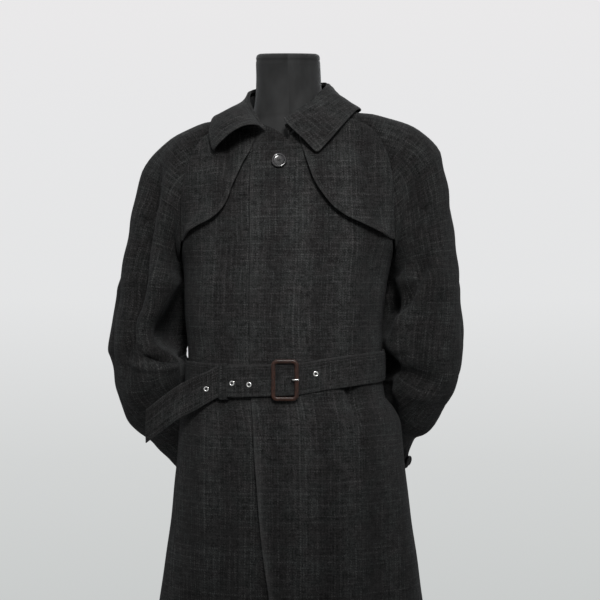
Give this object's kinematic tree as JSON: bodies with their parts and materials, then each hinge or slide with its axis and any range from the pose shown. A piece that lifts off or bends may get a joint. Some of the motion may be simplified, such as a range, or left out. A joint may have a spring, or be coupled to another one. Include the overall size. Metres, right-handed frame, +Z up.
{
  "type": "tweed coat on a dress form",
  "caption": "Dark check tweed raglan coat with fly front, storm flaps, turned-down collar and buckled belt, on a limbless covered dress form with a pole and a round base.",
  "frame": {"origin": "middle of the part's box, on the floor under the base", "axes": "+Z up, the coat's front faces -Y, the wearer's left is +X"},
  "size_m": [0.6502, 0.3937, 1.592],
  "materials": {
    "tweed": "dark charcoal wool with a faint check",
    "form_cover": "black stretch cover",
    "base_paint": "satin black",
    "pole_steel": "polished",
    "buckle_leather": "brown, worn to a shine",
    "bright_metal": "bright",
    "button": "black gloss"
  },
  "bodies": {
    "root": {"back_left": "tweed", "back_right": "tweed", "belt": "tweed", "belt_keeper": "tweed", "buckle_frame": "buckle_leather", "buckle_prong": "bright_metal", "button_cuff_left": "button", "button_cuff_right": "button", "button_front": "button", "collar_fall": "tweed", "collar_stand": "tweed", "dress_form": "form_cover", "eyelet_1": "bright_metal", "eyelet_2": "bright_metal", "eyelet_3": "bright_metal", "eyelet_4": "bright_metal", "front_left": "tweed", "front_right": "tweed", "sleeve_left": "tweed", "sleeve_right": "tweed", "stand_base": "base_paint", "stand_pole": "pole_steel", "storm_flap_left": "tweed", "storm_flap_right": "tweed"}
  },
  "joints": []
}
